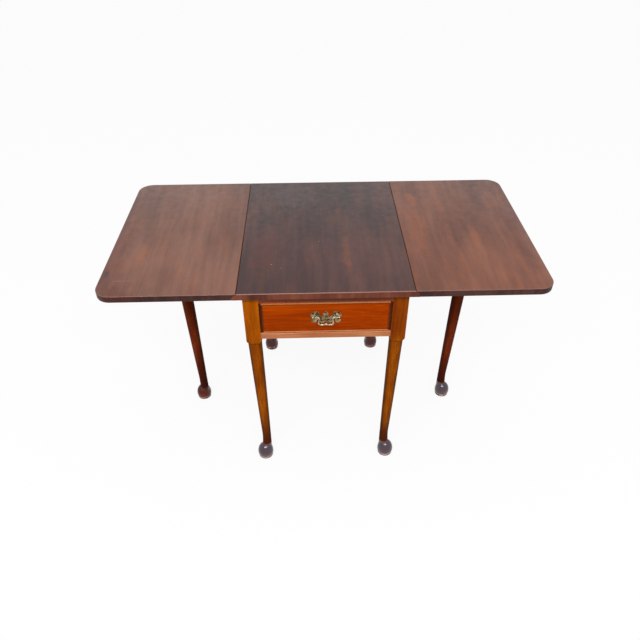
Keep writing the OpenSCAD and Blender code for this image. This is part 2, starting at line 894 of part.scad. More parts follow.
// The bead: four strips with round noses, mitred into one frame
module drawer_cock_bead() {
  w = bead_width;
  r = w / 2;
  nose = -rail_face - bead_proud + r;
  color(mahogany_front)
  union() {
    difference() {
      block([-front_x, nose, front_low], [front_x, -rail_face + bead_rebate, front_high]);
      block([-front_x + w, nose - past, front_low + w],
            [front_x - w, -rail_face + bead_rebate + past, front_high - w]);
    }
    for (z = [front_low + r, front_high - r]) {
      bar_x(nose, z, -front_x + r, front_x - r, r);
      for (x = [-front_x + r, front_x - r]) translate([x, nose, z]) sphere(r = r);
    }
    for (x = [-front_x + r, front_x - r])
      translate([x, nose, front_low + r]) cylinder(r = r, h = front_high - front_low - w);
  }
}

module drawer_side(side) {
  color(inner_wood)
  mirrored(side) difference() {
    union() {
      block([side_inner, -front_rear, side_low], [side_outer, drawer_rear, side_high]);
      tails();
    }
    block([side_inner - past, -front_rear - groove_depth - glue_gap, bottom_low - glue_gap],
          [side_inner + groove_depth + glue_gap, drawer_rear + past, bottom_high + glue_gap]);
    back_space(glue_gap);
  }
}

// The space of the drawer back, whose ends are let into the sides
module back_space(gap = 0) {
  rear = drawer_rear - drawer_back_thickness;
  reach = side_inner + back_housing + gap;
  block([-reach, rear - drawer_back_thickness - gap, bottom_high - gap],
        [reach, rear + gap, side_high - back_drop + gap]);
}

module drawer_back() {
  color(inner_wood) back_space(0);
}

module drawer_bottom() {
  color(inner_wood) bottom_space(0);
}

// Lobes of the back plate, right half: distance from the middle, height, radius
plate_lobes = [
  [post_x + 1.5, post_rise, 12],
  [post_x + 3.5, -12, 8],
  [9.5, -10.5, 10]
];
// The plate's wings, right half, and its peak: distance from the middle, height
plate_wing = [
  [0, -10], [0, 0], [9, 0], [18.5, 7], [20.5, 20.5],
  [post_x + 1.5, post_rise + 11.7], [post_x + 6, 0], [post_x, -10]
];
plate_peak = [[-9, 0], [-5, 8.5], [-9, 12], [0, 22.5], [9, 12], [5, 8.5], [9, 0]];

module pull_backplate() {
  color(old_brass)
  translate([0, -rail_face - backplate_thickness, pull_z]) difference() {
    rotate([-90, 0, 0]) mirror([0, 1, 0]) union() {
      for (side = [-1, 1]) mirrored(side) {
        for (c = plate_lobes) translate([c[0], c[1], 0]) cylinder(r = c[2], h = backplate_thickness);
        linear_extrude(height = backplate_thickness) polygon(plate_wing);
      }
      linear_extrude(height = backplate_thickness) polygon(plate_peak);
    }
    for (x = [-post_x, post_x])
      bar_y(x, post_rise, -past, backplate_thickness + past, shank_radius + shank_fit);
  }
}

// Outline of a post: round head, neck, rosette and the shank through the drawer front, along its
// axis from the bail's pin
post_neck = 2.9;
head_steps = 9;
head_turn = 180 - asin(post_neck / post_head_radius);
post_foot = bail_standoff - backplate_thickness;
post_outline = concat(
  [for (i = [0 : head_steps])
    let (a = head_turn * i / head_steps) [post_head_radius * sin(a), -post_head_radius * cos(a)]],
  [[post_neck, post_foot - 2.8], [4.6, post_foot - 2.8], [4.6, post_foot - 1.6]],
  [[6.2, post_foot - 1.6], [6.2, post_foot], [shank_radius, post_foot]],
  [[shank_radius, -front_rear + shank_tail - pin_y], [0, -front_rear + shank_tail - pin_y]]
);

module pull_post(side) {
  mirrored(side) translate([post_x, 0, post_z]) difference() {
    translate([0, pin_y, 0]) rotate([-90, 0, 0]) rotate_extrude() polygon(post_outline);
    bar_x(pin_y, 0, -post_head_radius - past, post_head_radius + past, bail_pin_radius + bail_pin_clearance);
  }
}

module pull_posts() {
  color(old_brass) for (side = [-1, 1]) pull_post(side);
}

module pull_nuts() {
  color(old_brass)
  at_posts() translate([0, -front_rear, 0]) rotate([-90, 0, 0]) difference() {
    cylinder(r = nut_radius, h = nut_height, $fn = 6);
    translate([0, 0, -past]) cylinder(r = shank_radius + shank_fit, h = nut_height + 2 * past);
  }
}

// The bail's right half as a chain of straights [length, 0] and bends [radius, turn], seen from
// the front. A positive turn is to the left. Each state is [x, z, heading].
bail_start = post_x - post_head_radius - bail_shoulder_gap;
bail_side = (bail_drop - bail_neck_bend * (1 + sin(bail_flare)) - bail_corner_bend * (1 + sin(bail_flare)))
            / cos(bail_flare);
bail_steps = [
  [bail_start - bail_neck - bail_neck_bend, 0],
  [bail_neck_bend, 90 + bail_flare],
  [bail_side, 0],
  [bail_corner_bend, -(90 + bail_flare + bail_rise)]
];
function bend_centre(s, r, turn) = [
  s[0] + r * cos(s[2] + 90 * sign(turn)),
  s[1] + r * sin(s[2] + 90 * sign(turn))
];
function after(s, step) = step[1] == 0
  ? [s[0] + step[0] * cos(s[2]), s[1] + step[0] * sin(s[2]), s[2]]
  : let (c = bend_centre(s, step[0], step[1]), h = s[2] + step[1]) [
      c[0] + step[0] * cos(h - 90 * sign(step[1])),
      c[1] + step[0] * sin(h - 90 * sign(step[1])),
      h
    ];
function bail_state(i) = i == 0 ? [bail_start, 0, 180] : after(bail_state(i - 1), bail_steps[i - 1]);

// A straight of the bail, drawn in the plane of X and Y, which reaches into the bends at its ends.
// It is a hair thinner than they are, so that no two surfaces only graze each other.
bail_hair = 0.02;
bail_lap = 0.3;
module bail_straight(s, length, before = bail_lap) {
  translate([s[0], s[1], 0]) rotate([0, 90, s[2]]) translate([0, 0, -before])
    cylinder(r = bail_radius - bail_hair, h = length + before + bail_lap);
}

// A bend of the bail, drawn in the plane of X and Y
module bail_bend(s, radius, turn) {
  c = bend_centre(s, radius, turn);
  from = s[2] - 90 * sign(turn);
  translate([c[0], c[1], 0]) rotate([0, 0, min(from, from + turn)])
    rotate_extrude(angle = abs(turn)) translate([radius, 0]) circle(r = bail_radius + bail_hair);
}

// The last straight ends inside the knop at the middle of the bail
module bail_half() {
  last = bail_state(len(bail_steps));
  bail_straight(bail_state(0), bail_steps[0][0], 0);
  bail_bend(bail_state(1), bail_steps[1][0], bail_steps[1][1]);
  bail_straight(bail_state(2), bail_steps[2][0]);
  bail_bend(bail_state(3), bail_steps[3][0], bail_steps[3][1]);
  bail_straight(last, last[0] / cos(bail_rise) - 2 * bail_lap);
  bar_x(0, 0, bail_start - past, bail_end_x, bail_pin_radius);
  translate([bail_end_x, 0, 0]) rotate([0, 0, 90]) sphere(r = bail_end_radius);
}

module pull_bail() {
  last = bail_state(len(bail_steps));
  color(old_brass)
  translate([0, pin_y, post_z]) rotate([90, 0, 0]) union() {
    for (side = [-1, 1]) mirrored(side) bail_half();
    translate([0, last[1] + last[0] * tan(bail_rise), 0]) rotate([0, 0, 90]) sphere(r = bail_knop);
  }
}

top_centre();
leaf(-1);  // leaf_left
leaf(1);  // leaf_right
hinge_plates_centre(-1);  // hinge_plates_centre_left
hinge_plates_centre(1);  // hinge_plates_centre_right
hinge_plates_leaf(-1);  // hinge_plates_leaf_left
hinge_plates_leaf(1);  // hinge_plates_leaf_right
hinge_pins(-1);  // hinge_pins_left
hinge_pins(1);  // hinge_pins_right
hinge_screws_centre();
hinge_screws_leaf(-1);  // hinge_screws_leaf_left
hinge_screws_leaf(1);  // hinge_screws_leaf_right
leg_front(-1);  // leg_front_left
leg_front(1);  // leg_front_right
leg_back(-1);  // leg_back_left
leg_back(1);  // leg_back_right
swing_leg(-1);  // swing_leg_left
swing_leg(1);  // swing_leg_right
front_top_rail();
front_lower_rail();
back_apron();
inner_rail(-1);  // inner_rail_left
inner_rail(1);  // inner_rail_right
fixed_side_rail(-1);  // fixed_side_rail_left
fixed_side_rail(1);  // fixed_side_rail_right
side_blocks(-1);  // side_blocks_left
side_blocks(1);  // side_blocks_right
fly_rail(-1);  // fly_rail_left
fly_rail(1);  // fly_rail_right
fly_rail_pin(-1);  // fly_rail_pin_left
fly_rail_pin(1);  // fly_rail_pin_right
opening_stile(-1);  // opening_stile_left
opening_stile(1);  // opening_stile_right
drawer_runner(-1);  // drawer_runner_left
drawer_runner(1);  // drawer_runner_right
drawer_kicker(-1);  // drawer_kicker_left
drawer_kicker(1);  // drawer_kicker_right
drawer_stops();
corner_blocks();
top_glue_blocks();
top_fixing_screws();
drawer_front();
drawer_cock_bead();
drawer_side(-1);  // drawer_side_left
drawer_side(1);  // drawer_side_right
drawer_back();
drawer_bottom();
pull_backplate();
pull_posts();
pull_nuts();
pull_bail();
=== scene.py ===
"""The looks of the drop-leaf table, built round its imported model. Units are metres."""

import math

import bmesh
import bpy
from mathutils import Matrix, Vector


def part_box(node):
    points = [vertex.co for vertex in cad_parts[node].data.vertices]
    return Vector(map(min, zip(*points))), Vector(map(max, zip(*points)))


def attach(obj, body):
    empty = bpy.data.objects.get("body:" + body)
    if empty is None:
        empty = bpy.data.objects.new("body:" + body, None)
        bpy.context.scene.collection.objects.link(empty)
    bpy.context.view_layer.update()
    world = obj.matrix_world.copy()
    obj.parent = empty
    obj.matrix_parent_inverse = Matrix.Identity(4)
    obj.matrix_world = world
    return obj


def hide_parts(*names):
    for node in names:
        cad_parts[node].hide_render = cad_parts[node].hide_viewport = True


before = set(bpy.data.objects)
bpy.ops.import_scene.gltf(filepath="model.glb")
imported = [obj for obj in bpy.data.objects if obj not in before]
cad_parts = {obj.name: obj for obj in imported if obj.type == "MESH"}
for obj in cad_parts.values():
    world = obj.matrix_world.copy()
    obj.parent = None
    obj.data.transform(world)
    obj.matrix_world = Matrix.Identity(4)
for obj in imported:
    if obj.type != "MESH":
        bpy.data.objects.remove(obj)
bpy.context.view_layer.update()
X, Y, Z = 0, 1, 2
SIDES = ("left", "right")
MM = 0.001

# Camera: where the photograph was taken from, as solved from the outlines of the table
CAMERA_PLACE = (-0.0447, -1.5896, 1.6918)
CAMERA_YAW = -1.243
CAMERA_DOWN = 39.671
CAMERA_ROLL = 0.347
CAMERA_LENS = 33.12
CAMERA_SENSOR = 36


def make_camera():
    data = bpy.data.cameras.new("camera")
    data.lens = CAMERA_LENS
    data.sensor_width = CAMERA_SENSOR
    camera = bpy.data.objects.new("camera", data)
    bpy.context.scene.collection.objects.link(camera)
    yaw = Matrix.Rotation(math.radians(CAMERA_YAW), 4, "Z")
    down = Matrix.Rotation(math.radians(90 - CAMERA_DOWN), 4, "X")
    roll = Matrix.Rotation(math.radians(-CAMERA_ROLL), 4, "Z")
    camera.matrix_world = Matrix.Translation(CAMERA_PLACE) @ yaw @ down @ roll
    bpy.context.scene.camera = camera


class Tree:
    """The nodes of one material or world, added and linked in short calls."""

    def __init__(self, owner):
        owner.use_nodes = True
        self.owner = owner
        self.nodes = owner.node_tree.nodes
        self.links = owner.node_tree.links

    def feed(self, socket, value):
        if isinstance(value, bpy.types.NodeSocket):
            self.links.new(value, socket)
        else:
            socket.default_value = value

    def add(self, kind, inputs, output=0, **settings):
        node = self.nodes.new("ShaderNode" + kind)
        for key, value in settings.items():
            setattr(node, key, value)
        for key, value in inputs.items():
            self.feed(node.inputs[key], value)
        return node.outputs[output]

    def math(self, operation, a, b=0.5, clamp=False):
        return self.add("Math", {0: a, 1: b}, operation=operation, use_clamp=clamp)

    def mix(self, factor, a, b):
        return self.add("Mix", {0: factor, 6: a, 7: b}, 2, data_type="RGBA")

    def spread(self, value, low, high, to_low=0.0, to_high=1.0):
        """The value carried smoothly from one range to another, and held at its ends."""
        inputs = {0: value, 1: low, 2: high, 3: to_low, 4: to_high}
        return self.add("MapRange", inputs, interpolation_type="SMOOTHSTEP")

    def ramp(self, value, stops):
        node = self.nodes.new("ShaderNodeValToRGB")
        self.links.new(value, node.inputs[0])
        elements = node.color_ramp.elements
        stops = list(stops)
        while len(elements) < len(stops):
            elements.new(0.5)
        for element, (place, colour) in zip(elements, stops):
            element.position = place
            element.color = (*colour, 1)
        return node.outputs[0]

    def place(self):
        return self.add("TexCoord", {}, "Object")

    def noise(self, vector, detail=3.0, rough=0.5, seed=0.0):
        inputs = {"Vector": vector, "W": seed, "Scale": 1.0, "Detail": detail, "Roughness": rough}
        return self.add("TexNoise", inputs, "Fac", noise_dimensions="4D")

    def scaled(self, vector, scale):
        return self.add("Mapping", {"Vector": vector, "Scale": scale})

    def axis(self, vector, number):
        return self.add("SeparateXYZ", {0: vector}, number)


# Parts of a noise's range that are carried to the whole range: most of it, or the core
NOISE_MOST = (0.2, 0.8)
NOISE_CORE = (0.3, 0.7)

# Wood grain, as (size of a cell across the grain in metres, how many times longer it is along it)
DRIFT_CELL = (0.09, 3)
LINE_CELL = (0.0028, 45)
GLOW_CELL = (0.034, 4.5)
PORE_CELL = (0.0007, 28)
WAVE_CELL = (0.03, 2.5)
BAND_STRETCH = 22
PATCH_STRETCH = 2.2
DRIFT_REACH = 0.006
LINE_RANGE = (0.28, 0.72)
GLOW_RANGE = (0.42, 0.78)
PORE_RANGE = (0.6, 0.74)
# Painted shade on faces towards X: the range of facing over which it grows
PAINTED_SIDE_RANGE = (0.35, 1.0)
TONE_STOPS = (0.12, 0.5, 0.88)
PORE_SHARE = 0.45
PORE_SHADE = 0.35
PORE_ROUGHNESS = 0.15
# How dark the painted shade on faces towards X gets, as a share of the darkest tone
PAINTED_SIDE_SHADE = 0.18
RUB_DENSITY = 38
WAVE_HEIGHT = 4.0
LINE_HEIGHT = 0.5
WOOD_BUMP = 0.00012

# The soft, frayed edge of a mark, as a share of its size
MARK_FRAY = 0.45
MARK_EDGE = (0.25, 1.15)
MARK_DENSITY = (60, 25, 60)

# Foot polish: heights are in metres above the floor
FOOT_DENSITY = 90
FOOT_FRAY = 0.006
NECK_RANGE = (0.047, 0.054)
STREAK_RANGE = (0.02, 0.03)
STREAK_DENSITY = (30, 30, 300)
STREAK_PART = (0.46, 0.6)
STREAK_SHARE = 0.8
# The pale ring low on the pad: wear, and a painted highlight
PALE_RING = 0.0095
PALE_REACH = (0.0012, 0.004)
PALE_SHARE = 0.85
FOOT_ROUGHNESS = (0.04, 0.12)
DULL_ROUGHNESS = 0.6
NECK_DULLNESS = 0.7
FOOT_BUMP = 0.0003

# Metal: a cloud of wear with grit in it, in cells per metre
CLOUD_DENSITY = 130
GRIT_DENSITY = 900
GRIT_SHARE = 0.25
WEAR_STOPS = (0.4, 0.58)
METAL_BUMP = 0.0001


def linear(red, green, blue):
    """A colour as seen on a screen, 0 to 255, in the linear values that shaders take."""
    def one(value):
        value /= 255
        return value / 12.92 if value <= 0.04045 else ((value + 0.055) / 1.055) ** 2.4
    return (one(red), one(green), one(blue))


def grain_scale(along, across, stretch):
    """The scale of a noise with cells this wide across the grain, and longer by stretch along it."""
    scale = [1 / across] * 3
    scale[along] /= stretch
    return scale


def marked(tree, colour, place, marks, seed):
    """The colour with soft marks laid over it: (x, y, half width, half length, colour, share)."""
    fray = tree.noise(tree.scaled(place, MARK_DENSITY), 3, 0.6, seed)
    fray = tree.spread(fray, *NOISE_MOST, -MARK_FRAY, MARK_FRAY)
    for x, y, width, length, tint, share in marks:
        scale = (1 / width, 1 / length, 0)
        shift = (-x / width, -y / length, 0)
        inside = tree.add("Mapping", {"Vector": place, "Scale": scale, "Location": shift})
        far = tree.add("VectorMath", {0: inside}, 1, operation="LENGTH")
        mask = tree.spread(tree.math("ADD", far, fray), *MARK_EDGE, share, 0.0)
        colour = tree.mix(mask, colour, (*tint, 1))
    return colour


def tinted(tree, colour, place, tints):
    """The colour with tints across it: (axis, middle, full, end, colour, share). A tint has its full
    share up to one distance from its middle along the axis, and none beyond the other."""
    for axis, middle, full, end, tint, share in tints:
        away = tree.math("ABSOLUTE", tree.math("SUBTRACT", tree.axis(place, axis), middle))
        colour = tree.mix(tree.spread(away, full, end, share, 0.0), colour, (*tint, 1))
    return colour


def wood(name, along, tones, seed, gloss=(0.35, 0.5), shine=0.3, patch_size=0.12,
         shares=(0.27, 0.38, 0.35), band=0.014, warm=None, warm_share=0.0, marks=(), painted_side_shade=0.0, tints=()):
    """Old polished wood. Its grain runs along one axis, and tones go from dark to light.
    shares are those of the bands, lines and patches, and the side share how much darker the faces towards X
    are: painted shade."""
    tree = Tree(bpy.data.materials.new(name))
    shader = tree.nodes["Principled BSDF"]
    place = tree.place()

    # The grain wanders a little, so streaks aren't ruled lines
    drift = tree.noise(tree.scaled(place, grain_scale(along, *DRIFT_CELL)), 2, seed=seed)
    drift = tree.spread(drift, *NOISE_MOST, -DRIFT_REACH, DRIFT_REACH)
    moved = tree.add("VectorMath", {0: place, 1: drift}, operation="ADD")

    bands = tree.noise(tree.scaled(moved, grain_scale(along, band, BAND_STRETCH)), 2, 0.5, seed + 1)
    lines = tree.noise(tree.scaled(moved, grain_scale(along, *LINE_CELL)), 3, 0.6, seed + 2)
    patch_scale = grain_scale(along, patch_size, PATCH_STRETCH)
    patches = tree.noise(tree.scaled(place, patch_scale), 3, 0.5, seed + 3)
    figure = tree.math("MULTIPLY", tree.spread(bands, *NOISE_CORE), shares[0])
    figure = tree.math("ADD", figure, tree.math("MULTIPLY", tree.spread(lines, *LINE_RANGE), shares[1]))
    figure = tree.math("ADD", figure, tree.math("MULTIPLY", tree.spread(patches, *NOISE_CORE), shares[2]))
    colour = tree.ramp(figure, zip(TONE_STOPS, tones))

    if warm:
        glow = tree.noise(tree.scaled(moved, grain_scale(along, *GLOW_CELL)), 3, 0.55, seed + 4)
        glow = tree.spread(glow, *GLOW_RANGE, 0, warm_share)
        colour = tree.mix(glow, colour, (*warm, 1))
    if marks:
        colour = marked(tree, colour, place, marks, seed + 8)
    colour = tinted(tree, colour, place, tints)
    # Painted shade: faces that look towards X are darkened, as a leg's flanks would be in shade
    if painted_side_shade:
        facing = tree.axis(tree.add("TexCoord", {}, "Normal"), X)
        shade = tree.spread(tree.math("ABSOLUTE", facing), *PAINTED_SIDE_RANGE, 0, painted_side_shade)
        colour = tree.mix(shade, colour, (*[PAINTED_SIDE_SHADE * c for c in tones[0]], 1))

    # Open pores: short dark dashes along the grain
    dashes = tree.noise(tree.scaled(moved, grain_scale(along, *PORE_CELL)), 1, 0.5, seed + 5)
    dashes = tree.spread(dashes, *PORE_RANGE)
    pore_share = tree.math("MULTIPLY", dashes, PORE_SHARE)
    colour = tree.mix(pore_share, colour, (*[PORE_SHADE * c for c in tones[0]], 1))

    # Wear in the polish
    rub = tree.noise(tree.scaled(place, [RUB_DENSITY] * 3), 4, 0.6, seed + 6)
    rough = tree.spread(rub, *NOISE_CORE, *gloss)
    rough = tree.math("ADD", rough, tree.math("MULTIPLY", dashes, PORE_ROUGHNESS), clamp=True)
    tree.feed(shader.inputs["Base Color"], colour)
    tree.feed(shader.inputs["Roughness"], rough)
    shader.inputs["Specular IOR Level"].default_value = shine

    # Pores sink in, and the old surface is not quite flat
    waves = tree.noise(tree.scaled(place, grain_scale(along, *WAVE_CELL)), 2, 0.5, seed + 7)
    height = tree.math("SUBTRACT", tree.math("MULTIPLY", waves, WAVE_HEIGHT), dashes)
    height = tree.math("ADD", height, tree.math("MULTIPLY", lines, LINE_HEIGHT))
    bump = tree.add("Bump", {"Height": height, "Distance": WOOD_BUMP, "Strength": 0.8})
    tree.feed(shader.inputs["Normal"], bump)
    return tree.owner


def foot_polish(name, ankle, look, seed):
    """The dark, hard polish of a pad foot: dull near the shaft, streaked below, pale at its base."""
    dark, shine = look
    tree = Tree(bpy.data.materials.new(name))
    shader = tree.nodes["Principled BSDF"]
    place = tree.place()
    fray = tree.noise(tree.scaled(place, [FOOT_DENSITY] * 3), 4, 0.6, seed)
    shift = tree.spread(fray, *NOISE_MOST, -FOOT_FRAY, FOOT_FRAY)
    level = tree.math("ADD", tree.axis(place, Z), shift)
    neck = tree.spread(level, *NECK_RANGE)
    colour = tree.mix(neck, (*dark, 1), (*ankle, 1))
    rings = tree.noise(tree.scaled(place, STREAK_DENSITY), 2, 0.5, seed + 1)
    low_part = tree.spread(level, *STREAK_RANGE, 1, 0)
    rings = tree.math("MULTIPLY", tree.spread(rings, *STREAK_PART, 0, STREAK_SHARE), low_part)
    colour = tree.mix(rings, colour, (*FOOT_STREAK, 1))
    # A pale ring low on the pad: wear, and a painted highlight
    from_ring = tree.math("ABSOLUTE", tree.math("SUBTRACT", level, PALE_RING))
    worn_lit_ring = tree.spread(from_ring, *PALE_REACH, PALE_SHARE, 0.0)
    colour = tree.mix(worn_lit_ring, colour, (*FOOT_PALE_WEAR_AND_HIGHLIGHT, 1))
    tree.feed(shader.inputs["Base Color"], colour)
    hard = tree.spread(fray, *NOISE_CORE, *FOOT_ROUGHNESS)
    dull = tree.math("MAXIMUM", worn_lit_ring, tree.math("MULTIPLY", neck, NECK_DULLNESS))
    tree.feed(shader.inputs["Roughness"], tree.add("Mix", {0: dull, 2: hard, 3: DULL_ROUGHNESS}))
    shader.inputs["Specular IOR Level"].default_value = shine
    shader.inputs["Specular Tint"].default_value = FOOT_SHEEN
    bump = tree.add("Bump", {"Height": fray, "Distance": FOOT_BUMP, "Strength": 0.5})
    tree.feed(shader.inputs["Normal"], bump)
    return tree.owner


def metal(name, dark, bright, rough, seed):
    """Old metal: dark where polish never reaches, brighter where hands do."""
    tree = Tree(bpy.data.materials.new(name))
    shader = tree.nodes["Principled BSDF"]
    place = tree.place()
    cloud = tree.noise(tree.scaled(place, [CLOUD_DENSITY] * 3), 4, 0.6, seed)
    grit = tree.noise(tree.scaled(place, [GRIT_DENSITY] * 3), 2, 0.5, seed + 1)
    cloud = tree.math("MULTIPLY", cloud, 1 - GRIT_SHARE)
    wear = tree.math("ADD", cloud, tree.math("MULTIPLY", grit, GRIT_SHARE))
    colour = tree.ramp(wear, zip(WEAR_STOPS, (dark, bright)))
    tree.feed(shader.inputs["Base Color"], colour)
    tree.feed(shader.inputs["Roughness"], tree.spread(wear, *NOISE_CORE, rough[1], rough[0]))
    shader.inputs["Metallic"].default_value = 1.0
    bump = tree.add("Bump", {"Height": wear, "Distance": METAL_BUMP, "Strength": 0.6})
    tree.feed(shader.inputs["Normal"], bump)
    return tree.owner


# Meshes: what counts as one place, as flat, as crisp and as smooth (angles in degrees)
MERGE_DISTANCE = 0.01 * MM
FLAT_ANGLE = 0.4
CRISP_ANGLE = 40
SMOOTH_ANGLE = 28


def cleaned(node):
    """The mesh of a CAD node with its flat faces whole, ready for work."""
    work = bmesh.new()
    work.from_mesh(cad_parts[node].data)
    bmesh.ops.remove_doubles(work, verts=work.verts, dist=MERGE_DISTANCE)
    flat = math.radians(FLAT_ANGLE)
    bmesh.ops.dissolve_limit(work, angle_limit=flat, verts=work.verts, edges=work.edges)
    return work


def sharp_edges(work, wanted):
    """The crisp edges of a mesh for which wanted(middle, direction) holds."""
    found = []
    for edge in work.edges:
        if len(edge.link_faces) == 2 and edge.calc_face_angle(0) > math.radians(CRISP_ANGLE):
            ends = [v.co for v in edge.verts]
            if wanted((ends[0] + ends[1]) / 2, (ends[1] - ends[0]).normalized()):
                found.append(edge)
    return found


def dressed(node, body, materials, rounds, choose=None):
    """A piece that stands for a CAD node: the same shape, with its worn arrises rounded.
    The first material is the main one. choose(normal, middle) may give a face the number of another.
    rounds is a list of (width, wanted, number of the material)."""
    work = cleaned(node)
    if choose:
        for face in work.faces:
            face.material_index = choose(face.normal, face.calc_center_median())
    for width, wanted, number in rounds:
        edges = sharp_edges(work, wanted)
        bmesh.ops.bevel(work, geom=edges, offset=width, offset_type="OFFSET", segments=3, profile=0.5,
                        affect="EDGES", clamp_overlap=True, material=number)
    return piece_of(work, node + "_dressed", body, materials, node)


def piece_of(work, name, body, materials, node):
    """A finished piece from a mesh under work, smooth but for its crisp edges, in place of a CAD node."""
    mesh = bpy.data.meshes.new(name)
    work.to_mesh(mesh)
    work.free()
    for material in materials:
        mesh.materials.append(material)
    for face in mesh.polygons:
        face.use_smooth = True
    mesh.set_sharp_from_angle(angle=math.radians(SMOOTH_ANGLE))
    piece = bpy.data.objects.new(name, mesh)
    bpy.context.scene.collection.objects.link(piece)
    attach(piece, body)
    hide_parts(node)
    return piece


def finish_node(node, material):
    """Gives a CAD node that stays as it is its own material."""
    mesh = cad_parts[node].data
    mesh.materials.clear()
    mesh.materials.append(material)


# The top, from the frame: its faces, the leaves' inner edges and its ends. CORNER is a little more
# than the round corners of the leaves, and LEAF_INNER the part of a leaf that lies within them.
TOP_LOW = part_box("top_centre")[0].z
TOP_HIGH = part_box("top_centre")[1].z
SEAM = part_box("leaf_right")[0].x
EDGE_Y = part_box("top_centre")[1].y
CORNER = 46 * MM
LEAF_INNER = 300 * MM
SEAM_REACH = 2 * MM
SEAM_FACE_REACH = 3 * MM
JOINT_REACH = 20 * MM
RIM_HALF = 9 * MM
TOUCH = 0.1 * MM
PARALLEL = 0.99


def at_outside(middle):
    """Whether a place lies round the outside of the open top."""
    return abs(middle.y) > EDGE_Y - CORNER or abs(middle.x) > SEAM + LEAF_INNER


def at_top_arris(middle, direction):
    """The upper arrises of a board, round its outside and along its seams."""
    along_seam = abs(direction.y) > PARALLEL and abs(middle.x) < SEAM + SEAM_REACH
    return abs(middle.z - TOP_HIGH) < TOUCH and (along_seam or at_outside(middle))


def at_low_arris(middle, direction):
    """The lower arrises round the outside of a board, but not those of the rule joints."""
    along_joint = abs(direction.y) > PARALLEL and abs(middle.x) < SEAM + JOINT_REACH
    return abs(middle.z - TOP_LOW) < TOUCH and at_outside(middle) and not along_joint


# The turned legs, in millimetres. Heights are above the floor, and offsets are the shaft's way in
# from the middle of the foot, in X and in Y.
BLOCK_HALF = 22
BLOCK_ROUND = 1.6
SHAFT_TOP = (546, 20.8, 0)
ANKLE = (28, 12.8, 9)
SHAFT_SWELL = 0.6
FLARE_TOP = (95, 13.9, 7.84)
FLARE_LOW = (30, 16.8, 5.8)
PAD_RADIUS = 26.5
PAD_WAIST = 18
PAD_TOP = 54
PAD_POWER = 2.1
DISC_RADIUS = 24.5
DISC_TOP = 6
DISC_BEVEL = 1.5
GROOVE = 1.2
GROOVE_HEIGHT = 1.5
SHOULDER_LOW = 537
SHOULDER_RISE = 23
SHOULDER_TUCK = 0.6
SHOULDER_SPARE = 0.5
POLE_LOW = 10
POLE_HIGH = 40
POLE_SHARE = 0.95
ARRIS_HALF_ANGLE = 1.5
BLEND_POWER = 26
FOOT_TOP = 56
RING_ANGLES = [q + a for q in (0, 90, 180, 270) for a in (0, 10, 20, 29, 36, 41, 44, 46, 49, 54, 61, 70, 80)]
DOME_STEPS = 22
DOME_HEIGHTS = [PAD_WAIST + (PAD_TOP - PAD_WAIST) * math.sin(math.pi / 2 * k / DOME_STEPS)
                for k in range(DOME_STEPS + 1)]
RING_HEIGHTS = (
    [0, 0.6, DISC_BEVEL, 3.5, DISC_TOP - 0.3, DISC_TOP, 6.9, 7.5, 8.3, 9.5, 11, 13, 15.5]
    + DOME_HEIGHTS
    + [56, 60, 65, 72, 78, 85, 92, 100, 115, 135, 160, 190, 225, 265, 310, 360, 410, 460, 510, 530]
    + [537, 537.4, 538.2, 539.4, 541, 543, 545.5, 548, 551, 554, 557, 560, 575, 640]
)


# Numbers of the materials on a leg
SHAFT, CORNERS, FOOT = range(3)


def between(low, high, height):
    return (height - low) / (high - low)


def pad_radius(height):
    """The foot's own outline: a bevelled disc, a groove and a round pad that closes at the top."""
    if height <= DISC_TOP:
        return DISC_RADIUS - max(0, DISC_BEVEL - height)
    if height <= PAD_WAIST:
        belly_low = DISC_TOP + GROOVE_HEIGHT
        neck = DISC_RADIUS - GROOVE
        if height < belly_low:
            return neck
        rise = math.acos(1 - between(belly_low, PAD_WAIST, height))
        return neck + (PAD_RADIUS - neck) * math.sin(rise)
    share = min(1, between(PAD_WAIST, PAD_TOP, height))
    return PAD_RADIUS * (1 - share ** PAD_POWER) ** (1 / PAD_POWER)


def shaft_circle(height):
    """The shaft's radius at a height, and its middle's way in from the middle of the foot."""
    share = max(0, min(1, between(ANKLE[0], SHAFT_TOP[0], height)))
    radius = ANKLE[1] + (SHAFT_TOP[1] - ANKLE[1]) * share + SHAFT_SWELL * math.sin(math.pi * share)
    return radius, ANKLE[2] * (1 - share)


def flare_circle(height):
    """The swelling that brings the shaft down onto the foot."""
    share = between(FLARE_LOW[0], FLARE_TOP[0], height)
    radius = FLARE_TOP[1] + (FLARE_LOW[1] - FLARE_TOP[1]) * (1 - share) ** 2
    return radius, FLARE_LOW[2] + (FLARE_TOP[2] - FLARE_LOW[2]) * share


def circle_reach(angle, pole, radius, offset):
    """How far a circle reaches from the pole at an angle, with both in along the diagonal."""
    apart = (pole - offset) * math.sqrt(2)
    turn = math.radians(angle - 45)
    inside = radius ** 2 - (apart * math.sin(turn)) ** 2
    return apart * math.cos(turn) + math.sqrt(inside) if inside > 0 else 0


def soft_greatest(values):
    """A little more than the greatest value where others come near it, so forms run together."""
    top = max(values)
    return top * sum((max(v, 0) / top) ** BLEND_POWER for v in values) ** (1 / BLEND_POWER)


def block_reach(angle, height):
    """The square block with its shoulder cut away below, seen from its middle."""
    a = math.radians(angle)
    side = BLOCK_HALF / max(abs(math.cos(a)), abs(math.sin(a)))
    corner = BLOCK_HALF * math.sqrt(2) - BLOCK_ROUND * (math.sqrt(2) - 1)
    reach = min(side, corner)
    if height < SHOULDER_LOW + SHOULDER_RISE:
        turn = math.acos(1 - between(SHOULDER_LOW, SHOULDER_LOW + SHOULDER_RISE, height))
        low = SHAFT_TOP[1] - SHOULDER_TUCK
        high = BLOCK_HALF * math.sqrt(2) + SHOULDER_SPARE
        reach = min(reach, low + (high - low) * math.sin(turn))
    return reach


